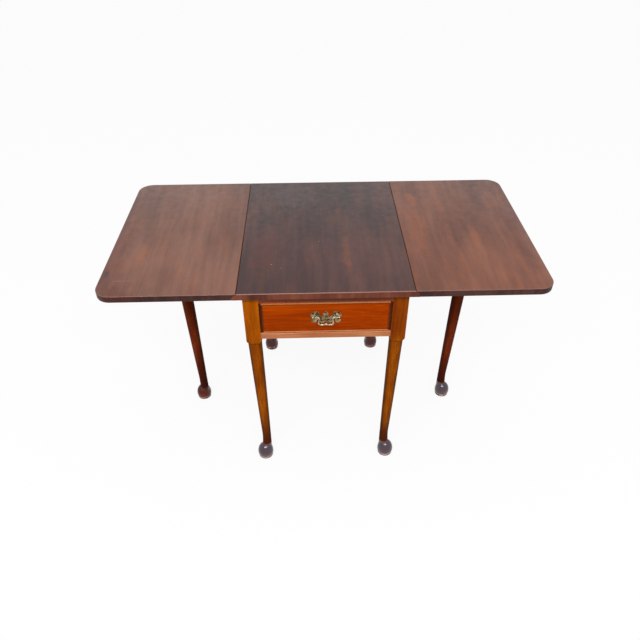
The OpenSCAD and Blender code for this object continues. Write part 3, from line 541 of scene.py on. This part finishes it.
def leg_ring(height):
    """The outline of a leg at a height, as points from the middle of its foot. They are found from a
    pole inside it, which moves from the foot's middle to the shaft's."""
    radius, offset = shaft_circle(height)
    circles = [(pad_radius(height), 0)] if height < PAD_TOP else []
    if height >= ANKLE[0]:
        circles.append((radius, offset))
    if FLARE_LOW[0] <= height <= FLARE_TOP[0]:
        circles.append(flare_circle(height))
    low_pole = ANKLE[2] * POLE_SHARE * max(0, between(POLE_LOW, POLE_HIGH, height))
    pole = offset if height > POLE_HIGH else low_pole
    points = []
    for angle in RING_ANGLES:
        reach = soft_greatest([circle_reach(angle, pole, *circle) for circle in circles])
        if height >= SHOULDER_LOW:
            reach = max(reach, block_reach(angle, height))
        a = math.radians(angle)
        points.append((reach * math.cos(a) - pole, reach * math.sin(a) - pole))
    return points


def near_corner(k):
    """Whether a point of a ring, by its number, is at the rounded corner of the block."""
    return abs(RING_ANGLES[k] % 90 - 45) < ARRIS_HALF_ANGLE


def foot_middle(node, way):
    """The middle of a leg's foot, which fills the outer corner of its node's box."""
    low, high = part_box(node)
    reach = PAD_RADIUS * MM
    x = high.x - reach if way[0] > 0 else low.x + reach
    y = high.y - reach if way[1] > 0 else low.y + reach
    return x, y


def make_leg(node, body, materials, way, middle):
    """A leg, smooth from foot to block. way is where its foot points, +1 or -1 in X and in Y, and
    middle is the foot's place."""
    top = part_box(node)[1].z / MM
    work = bmesh.new()
    rings = []
    heights = [h for h in RING_HEIGHTS if h < top] + [top - BLOCK_ROUND / 2, top]
    for height in heights:
        inset = BLOCK_ROUND / 2 if height == top else 0
        ring = []
        for x, y in leg_ring(height):
            far = math.hypot(x, y)
            x, y = x * (1 - inset / far), y * (1 - inset / far)
            ring.append(work.verts.new((
                middle[0] + way[0] * x * MM, middle[1] + way[1] * y * MM, height * MM)))
        rings.append(ring)
    foot = len([h for h in heights if h <= FOOT_TOP])
    for level, (low, high) in enumerate(zip(rings, rings[1:])):
        for k in range(len(low)):
            face = work.faces.new((low[k - 1], low[k], high[k], high[k - 1]))
            face.material_index = FOOT if level < foot else SHAFT
            on_block = heights[level] >= SHOULDER_LOW + SHOULDER_RISE
            if on_block and near_corner(k - 1) and near_corner(k):
                face.material_index = CORNERS
    work.faces.new(reversed(rings[0])).material_index = FOOT
    work.faces.new(rings[-1])
    bmesh.ops.recalc_face_normals(work, faces=work.faces)
    return piece_of(work, node + "_turned", body, materials, node)


# Colours of the wood, dark to light
TOP_TONES = (linear(36, 14, 13), linear(55, 27, 25), linear(76, 44, 39))
LEFT_TONES = (linear(88, 52, 40), linear(107, 68, 54), linear(125, 84, 68))
RIGHT_TONES = (linear(84, 43, 30), linear(104, 59, 42), linear(123, 74, 54))
RIM_TONES = (linear(42, 19, 15), linear(60, 31, 25), linear(76, 45, 37))
MIDDLE_RIM_TONES = (linear(72, 30, 19), linear(98, 49, 33), linear(120, 66, 46))
UNDER_TONES = (linear(70, 40, 25), linear(96, 60, 40), linear(120, 82, 58))
LEG_TONES = (linear(112, 49, 3), linear(154, 75, 4), linear(184, 99, 12))
SWING_TONES = (linear(72, 22, 8), linear(104, 38, 12), linear(130, 54, 20))
RAIL_TONES = (linear(164, 94, 54), linear(194, 124, 82), linear(212, 150, 108))
# The top rail is darker than the lower rail: its own tone with a painted shadow of the top's overhang
TOP_RAIL_SHADED_TONES = (linear(90, 34, 12), linear(128, 52, 22), linear(162, 80, 40))
FRAME_TONES = (linear(52, 22, 10), linear(75, 36, 16), linear(100, 52, 26))
STILE_TONES = (linear(72, 30, 10), linear(98, 42, 16), linear(120, 58, 28))
FRONT_TONES = (linear(138, 46, 0), linear(164, 59, 0), linear(184, 76, 3))
BEAD_TONES = (linear(78, 30, 10), linear(104, 46, 18), linear(132, 68, 34))
INNER_TONES = (linear(110, 82, 54), linear(140, 108, 74), linear(165, 132, 94))
OAK_TONES = (linear(140, 112, 76), linear(166, 136, 96), linear(188, 160, 120))
WARM = linear(152, 84, 46)
DARK_RED = linear(84, 34, 24)
STAIN = linear(58, 34, 32)
PALE = linear(176, 140, 122)
# Arrises of the top: lighter for wear, and as a painted highlight along the rounded edge
ARRIS_PALE_HIGHLIGHT = linear(152, 106, 96)
ARRIS_BROWN_HIGHLIGHT = linear(126, 84, 72)
# Seam arrises: painted shade of the joint's gap on the centre board, wear on the leaves
SEAM_GAP_SHADE = linear(16, 7, 5)
SEAM_WORN = linear(134, 84, 62)
# Painted highlight on the top and bottom of the bead
BEAD_HIGHLIGHT = linear(214, 142, 90)
# A redder tone on the lower rail and painted light on the top rail; then painted shadow on the top rail's
# middle
RAIL_RED = linear(140, 52, 14)
RAIL_SHADOW = linear(92, 44, 20)
# Front legs' blocks: painted light on the left one; on the right one a redder tone that is partly painted
# shade
BLOCK_LIT_GOLD = linear(196, 98, 2)
BLOCK_SHADED_RED = linear(116, 38, 8)
# Painted shade: laid in the legs' shoulder crease, under the top of the bead and along the bead's bottom
CREASE_SHADE = linear(46, 14, 4)
ANKLE_BROWN = linear(74, 26, 6)
SWING_ANKLE = linear(58, 17, 8)

# Feet, each as the colour of its polish and its shine
FRONT_FOOT = (linear(50, 12, 10), 1.0)
# The back feet's polish is lighter and redder than the front feet's: painted light on feet that stand in
# shade
BACK_FOOT_LIT = (linear(88, 28, 20), 0.35)
BROWN_FOOT = (linear(88, 28, 6), 0.2)
FOOT_SHEEN = (0.8, 0.85, 1.0, 1)
FOOT_STREAK = linear(128, 66, 48)
# Pale of the ring low on the foot: wear, and a painted highlight
FOOT_PALE_WEAR_AND_HIGHLIGHT = linear(196, 156, 136)

# Widths of the worn arrises
CENTRE_ROUND = 1.6 * MM
LEAF_ROUND = 1.3 * MM
LOW_ROUND = 0.8 * MM
TOP_RAIL_ROUND = 0.8 * MM
LOW_RAIL_ROUND = 1.2 * MM
FRONT_ROUND = 0.4 * MM
BEAD_ROUND = 0.9 * MM
PLATE_ROUND = 0.6 * MM

# Marks on the top, as (x, y, half width, half length, colour, share), in metres: marks of use, and one
# painted sheen
MARKS = {
    "leaf_left": [
        (-0.532, -0.12, 0.022, 0.075, WARM, 0.3), (-0.6, -0.18, 0.03, 0.06, WARM, 0.2),
        (-0.622, -0.1, 0.05, 0.3, DARK_RED, 0.45), (-0.6, -0.31, 0.09, 0.06, DARK_RED, 0.5),
        (-0.616, -0.22, 0.014, 0.022, STAIN, 0.7), (-0.57, -0.253, 0.03, 0.0016, PALE, 0.35),
    ],
    "top_centre": [
        (0.066, -0.13, 0.016, 0.12, WARM, 0.2), (-0.18, -0.12, 0.05, 0.13, DARK_RED, 0.45),
        (-0.153, -0.185, 0.0018, 0.0026, PALE, 0.6), (-0.125, -0.204, 0.0015, 0.0022, PALE, 0.5),
        (-0.014, -0.066, 0.0015, 0.003, PALE, 0.5), (0.197, 0.085, 0.003, 0.0018, PALE, 0.5),
        # Painted sheen: a greyish patch at the back of the centre board
        (-0.09, 0.22, 0.09, 0.1, linear(88, 72, 72), 0.25),
    ],
    "leaf_right": [
        (0.3, 0.19, 0.024, 0.05, WARM, 0.4), (0.29, 0.0, 0.03, 0.16, WARM, 0.3),
        (0.462, -0.05, 0.016, 0.09, WARM, 0.3), (0.493, -0.25, 0.014, 0.05, WARM, 0.25),
        (0.6, -0.05, 0.04, 0.25, DARK_RED, 0.35),
    ],
}


# Numbers of the materials on a board of the top
POLISH, ARRIS, RIM, UNDERSIDE, SEAM_FACE = range(5)


def is_rim(normal, middle):
    """The upright faces round the outside of the top."""
    half_height = (TOP_HIGH + TOP_LOW) / 2
    return abs(normal.z) < 0.3 and at_outside(middle) and abs(middle.z - half_height) < RIM_HALF


def top_face(normal, middle):
    """The number of a board's material: the polished top, the rim or the underside."""
    if is_rim(normal, middle):
        return RIM
    return POLISH if middle.z > TOP_HIGH - TOUCH else UNDERSIDE


def scaled_tones(tones, factor):
    return [tuple(factor * c for c in tone) for tone in tones]


def dress_top(node, tones, warm_share, rims, seed, arris_wear_and_highlight, seam_shade_and_wear, round_width):
    """One board of the top, with arrises of one colour outside and of another along its seams."""
    main = wood(node + "_polish", Y, tones, seed, (0.36, 0.48), 0.5, patch_size=0.17, band=0.02,
                shares=(0.28, 0.12, 0.6), warm=WARM, warm_share=warm_share, marks=MARKS[node])
    # The outside arrises are lighter: wear, and a painted highlight
    arris_tones = scaled_tones([arris_wear_and_highlight], 0.8) + [arris_wear_and_highlight] * 2
    arris = wood(node + "_arris", Y, arris_tones, seed, (0.2, 0.3), 0.5)
    # Painted light: the rims are redder and lighter towards the left end of the top
    rim_left_painted_light = [(X, -0.63, 0.02, 0.2, DARK_RED, 0.4)]
    rim = wood(node + "_rim", Z, rims, seed + 30, (0.4, 0.55), 0.2, patch_size=0.06,
               shares=(0.25, 0.15, 0.6), tints=rim_left_painted_light)
    under = wood(node + "_under", Y, UNDER_TONES, seed + 60, (0.6, 0.75), 0.2)
    # Along the seams: painted shade of the gap on the centre board, and wear on the leaves
    seam_tones = scaled_tones([seam_shade_and_wear], 0.7) + [seam_shade_and_wear] * 2
    seam = wood(node + "_seam", Y, seam_tones, seed + 7, (0.4, 0.6), 0.1)
    rounds = [(round_width, at_top_arris, ARRIS), (LOW_ROUND, at_low_arris, RIM)]
    body = "frame" if node == "top_centre" else node
    piece = dressed(node, body, [main, arris, rim, under, seam], rounds, top_face)
    for face in piece.data.polygons:
        near_seam = abs(face.center.x) < SEAM + SEAM_FACE_REACH and abs(face.normal.x) > 0.1
        if face.material_index == ARRIS and near_seam:
            face.material_index = SEAM_FACE


def dress_tops():
    dress_top("top_centre", TOP_TONES, 0.12, MIDDLE_RIM_TONES, 1, ARRIS_PALE_HIGHLIGHT, SEAM_GAP_SHADE,
              CENTRE_ROUND)
    dress_top("leaf_left", LEFT_TONES, 0.2, RIM_TONES, 11, ARRIS_BROWN_HIGHLIGHT, SEAM_WORN,
              LEAF_ROUND)
    dress_top("leaf_right", RIGHT_TONES, 0.3, RIM_TONES, 16, ARRIS_BROWN_HIGHLIGHT, SEAM_WORN,
              LEAF_ROUND)


def leg_materials(name, tones, ankle, seed, painted_side_shade, block=None, block_share=0.0, foot=FRONT_FOOT):
    """The materials of a leg: its wood, its worn arrises and its foot. block tints the square part."""
    tints = [
        (Z, (FOOT_TOP - 10) * MM, 0.02, 0.19, ankle, 0.92),
        # Painted shade in the crease where the shaft meets the block's shoulder
        (Z, SHOULDER_LOW * MM, 0.5 * MM, 3 * MM, CREASE_SHADE, 0.7),
    ]
    # The square part of a front leg gets painted light (left leg) or painted shade (right leg) in the block
    # colour
    if block:
        tints.append((Z, TOP_LOW, 0.14, 0.19, block, block_share))
    # The leg's wood has painted shade on its faces towards X
    main = wood(name, Z, tones, seed, (0.4, 0.55), 0.02, patch_size=0.05, painted_side_shade=painted_side_shade, tints=tints)
    worn = wood(name + "_worn", Z, scaled_tones(tones, 1.25), seed, (0.35, 0.5), 0.1)
    return [main, worn, foot_polish(name + "_foot", ankle, foot, seed)]


def dress_legs():
    fixed = leg_materials("leg_mahogany", LEG_TONES, ANKLE_BROWN, 21, 0.6, BLOCK_LIT_GOLD, 0.25)
    # The right front leg is darker all over: partly its own tone, partly painted shade
    right_darker_and_shaded = leg_materials("leg_mahogany_right", scaled_tones(LEG_TONES, 0.85), ANKLE_BROWN, 27, 0.6,
                           BLOCK_SHADED_RED, 0.5)
    back = leg_materials("back_leg_mahogany", LEG_TONES, ANKLE_BROWN, 24, 0.6, foot=BACK_FOOT_LIT)
    swing = leg_materials("swing_mahogany", SWING_TONES, SWING_ANKLE, 31, 0.5)
    browner = leg_materials("swing_mahogany_left", SWING_TONES, SWING_ANKLE, 31, 0.5, foot=BROWN_FOOT)
    x, y = foot_middle("leg_front_right", (1, -1))
    left_foot = foot_middle("swing_leg_left", (-1, 1))
    right_foot = foot_middle("swing_leg_right", (1, -1))
    make_leg("leg_front_left", "frame", fixed, (-1, -1), (-x, y))
    make_leg("leg_back_left", "frame", back, (-1, 1), (-x, -y))
    make_leg("swing_leg_left", "swing_left", browner, (-1, 1), left_foot)
    make_leg("leg_front_right", "frame", right_darker_and_shaded, (1, -1), (x, y))
    make_leg("leg_back_right", "frame", back, (1, 1), (x, -y))
    make_leg("swing_leg_right", "swing_right", swing, (1, -1), right_foot)


FRONT_ZONE = -290 * MM


def front_arris(middle, direction):
    """The lengthwise arrises in front of this place, on the rails and on the drawer's front."""
    return abs(direction.x) > PARALLEL and middle.y < FRONT_ZONE


def dress_frame():
    fly = wood("fly_mahogany", X, SWING_TONES, 41)
    side_wood = wood("side_mahogany", Y, SWING_TONES, 42)
    low_tints = [(X, -0.2, 0.01, 0.09, RAIL_RED, 0.45), (X, 0.2, 0.01, 0.05, RAIL_RED, 0.35)]
    rail = wood("rail_mahogany", X, RAIL_TONES, 43, (0.4, 0.55), 0.2, shares=(0.2, 0.3, 0.5),
                tints=low_tints)
    rail_worn = wood("rail_mahogany_worn", X, scaled_tones(RAIL_TONES, 1.3), 43)
    # Painted light towards the top rail's left end, and painted shadow in its middle
    top_rail_light_and_shadow = [(X, -0.2, 0.03, 0.15, RAIL_RED, 0.6), (X, 0.03, 0.02, 0.09, RAIL_SHADOW, 0.35)]
    top_rail = wood("top_rail_mahogany", X, TOP_RAIL_SHADED_TONES, 47, (0.4, 0.55), 0.2, shares=(0.22, 0.3, 0.48),
                    tints=top_rail_light_and_shadow)
    apron = wood("apron_mahogany", X, FRAME_TONES, 44)
    stile = wood("stile_mahogany", Z, STILE_TONES, 45, shine=0.04)
    inner = wood("inner_wood", Y, INNER_TONES, 46, (0.6, 0.75), 0.25)
    dressed("front_top_rail", "frame", [top_rail, rail_worn],
            [(TOP_RAIL_ROUND, front_arris, 1)])
    dressed("front_lower_rail", "frame", [rail, rail_worn],
            [(LOW_RAIL_ROUND, front_arris, 1)])
    finish_node("back_apron", apron)
    for side in SIDES:
        finish_node("fly_rail_" + side, fly)
        finish_node("fixed_side_rail_" + side, side_wood)
        finish_node("opening_stile_" + side, stile)
        for stem in ("inner_rail_", "side_blocks_", "drawer_runner_", "drawer_kicker_"):
            finish_node(stem + side, inner)
    for node in ("drawer_stops", "corner_blocks", "top_glue_blocks"):
        finish_node(node, inner)


def dress_drawer():
    low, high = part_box("drawer_cock_bead")
    bead_highlights_and_shadow = [
        # Painted highlights along the bead's top and bottom, and a painted shadow line at its bottom
        (Z, high.z, 3 * MM, 4 * MM, BEAD_HIGHLIGHT, 0.6),
        (Z, low.z, 3.2 * MM, 4 * MM, BEAD_HIGHLIGHT, 0.8),
        (Z, low.z, 1.2 * MM, 1.8 * MM, CREASE_SHADE, 0.7),
    ]
    # Painted shadow: the drawer front is darkened just under the top of the bead, where the bead casts its
    # shadow
    bead_top_shadow = [(Z, high.z - 3 * MM, 2 * MM, 5 * MM, CREASE_SHADE, 0.45)]
    front = wood("drawer_front_mahogany", X, FRONT_TONES, 51, (0.35, 0.5), 0.02, band=0.008,
                 shares=(0.3, 0.3, 0.4), tints=bead_top_shadow)
    front_worn = wood("drawer_front_worn", X, scaled_tones(FRONT_TONES, 1.2), 51)
    bead = wood("bead_mahogany", X, BEAD_TONES, 52, (0.35, 0.5), 0.06, tints=bead_highlights_and_shadow)
    # The bead's rounded arrises are lighter still: wear, and a painted highlight
    bead_wear_and_highlight = wood("bead_mahogany_worn", X, scaled_tones(BEAD_TONES, 1.5), 52, tints=bead_highlights_and_shadow)
    oak = wood("drawer_wood", Y, OAK_TONES, 53, (0.6, 0.75), 0.25)
    dressed("drawer_front", "drawer", [front, front_worn],
            [(FRONT_ROUND, front_arris, 1)])
    dressed("drawer_cock_bead", "drawer", [bead, bead_wear_and_highlight],
            [(BEAD_ROUND, bead_arris, 1)])
    for node in ("drawer_side_left", "drawer_side_right", "drawer_back", "drawer_bottom"):
        finish_node(node, oak)


def bead_arris(middle, direction):
    """The arrises at the face of the bead, all the way round."""
    return middle.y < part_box("drawer_cock_bead")[0].y + TOUCH


def plate_arris(middle, direction):
    """The arrises at the face of the back plate, all the way round."""
    return middle.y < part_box("pull_backplate")[0].y + TOUCH


def dress_metal():
    iron = metal("hinge_iron", linear(52, 46, 42), linear(92, 84, 78), (0.45, 0.7), 61)
    steel = metal("screw_steel", linear(80, 76, 72), linear(128, 124, 120), (0.3, 0.5), 62)
    old = metal("old_brass", linear(40, 30, 17), linear(180, 158, 118), (0.22, 0.45), 63)
    rubbed = metal("rubbed_brass", linear(100, 82, 54), linear(212, 196, 166), (0.18, 0.35), 64)
    for side in SIDES:
        finish_node("hinge_plates_centre_" + side, iron)
        finish_node("hinge_plates_leaf_" + side, iron)
        finish_node("hinge_pins_" + side, steel)
        finish_node("hinge_screws_leaf_" + side, steel)
        finish_node("fly_rail_pin_" + side, steel)
    finish_node("hinge_screws_centre", steel)
    finish_node("top_fixing_screws", steel)
    finish_node("pull_nuts", old)
    dressed("pull_backplate", "drawer", [old, rubbed], [(PLATE_ROUND, plate_arris, 1)])
    dressed("pull_posts", "drawer", [rubbed], [])
    dressed("pull_bail", "bail", [rubbed], [])


# Light: soft and plain, most of it from above and in front
SKY_LOW = 0.22
SKY_HIGH = 1.15
SKY_WAY = (0, -0.5, 0.87)
SKY_RANGE = (-0.3, 1.0)
SKY_SIDES = 0.55
SIDES_RANGE = (0.2, 1.0)
LAMP_AIM = (0, -0.1, 0.5)
SOFT_PLACE = (-0.5, -2.7, 3.4)
SOFT_SIZE = 2.4
SOFT_POWER = 24
PANEL_PLACE = (-0.15, -2.5, 3.1)
PANEL_SIZE = 3.2
PANEL_HEIGHT = 0.45
PANEL_POWER = 56
FLOOR_SIZE = 60
FLOOR_GLOW = 0.9
FLOOR_SHOWN = 0.86
FLOOR_BOUNCE = 0.35
FLOOR_ROUGHNESS = 0.9


def make_lamp(name, place, power, size, height=None):
    """A soft lamp aimed at the table: a disc, or a wide panel when it has a height."""
    data = bpy.data.lights.new(name, "AREA")
    data.shape = "RECTANGLE" if height else "DISK"
    data.size = size
    data.size_y = height or size
    data.energy = power
    lamp = bpy.data.objects.new(name, data)
    bpy.context.scene.collection.objects.link(lamp)
    lamp.location = place
    aim = Vector(LAMP_AIM) - Vector(place)
    lamp.rotation_euler = aim.to_track_quat("-Z", "Y").to_euler()


def shown_rays(tree):
    """1 for rays that show the background: straight to the camera, or by way of gloss or glass."""
    rays = tree.nodes.new("ShaderNodeLightPath")
    seen = tree.math("MAXIMUM", rays.outputs["Is Camera Ray"], rays.outputs["Is Glossy Ray"])
    return tree.math("MAXIMUM", seen, rays.outputs["Is Transmission Ray"])


def make_light():
    """A white background, a sky that is brighter in front and above, and two lamps."""
    world = bpy.data.worlds.new("studio")
    bpy.context.scene.world = world
    tree = Tree(world)
    tree.feed(tree.nodes["Background"].inputs["Color"], (1, 1, 1, 1))
    way = tree.add("TexCoord", {}, "Generated")
    front = tree.add("VectorMath", {0: way, 1: Vector(SKY_WAY).normalized()}, 1, operation="DOT_PRODUCT")
    sky = tree.spread(front, *SKY_RANGE, SKY_LOW, SKY_HIGH)
    across = tree.math("ABSOLUTE", tree.axis(way, X))
    sky = tree.math("MULTIPLY", sky, tree.spread(across, *SIDES_RANGE, 1.0, SKY_SIDES))
    strength = tree.add("Mix", {0: shown_rays(tree), 2: sky, 3: 1.0})
    tree.feed(tree.nodes["Background"].inputs["Strength"], strength)
    make_lamp("soft", SOFT_PLACE, SOFT_POWER, SOFT_SIZE)
    make_lamp("panel", PANEL_PLACE, PANEL_POWER, PANEL_SIZE, PANEL_HEIGHT)


def make_floor():
    """A wide white floor that keeps the table's shadow. From below it is clear."""
    half = FLOOR_SIZE / 2
    mesh = bpy.data.meshes.new("floor")
    corners = [(-half, -half, 0), (half, -half, 0), (half, half, 0), (-half, half, 0)]
    mesh.from_pydata(corners, [], [(0, 1, 2, 3)])
    floor = bpy.data.objects.new("floor", mesh)
    bpy.context.scene.collection.objects.link(floor)
    tree = Tree(bpy.data.materials.new("floor"))
    shader = tree.nodes["Principled BSDF"]
    shown = shown_rays(tree)
    paint = tree.mix(shown, (*[FLOOR_BOUNCE] * 3, 1), (*[FLOOR_SHOWN] * 3, 1))
    tree.feed(shader.inputs["Base Color"], paint)
    shader.inputs["Roughness"].default_value = FLOOR_ROUGHNESS
    shader.inputs["Specular IOR Level"].default_value = 0.0
    glow = tree.add("Emission", {0: (1, 1, 1, 1), 1: 1.0})
    share = tree.math("MULTIPLY", shown, FLOOR_GLOW)
    mixed = tree.add("MixShader", {0: share, 1: shader.outputs[0], 2: glow})
    back = tree.add("NewGeometry", {}, "Backfacing")
    clear = tree.add("BsdfTransparent", {})
    both = tree.add("MixShader", {0: back, 1: mixed, 2: clear})
    tree.feed(tree.nodes["Material Output"].inputs["Surface"], both)
    mesh.materials.append(tree.owner)


make_camera()
make_light()
make_floor()
dress_tops()
dress_legs()
dress_frame()
dress_drawer()
dress_metal()

bpy.context.scene.view_settings.view_transform = "Standard"
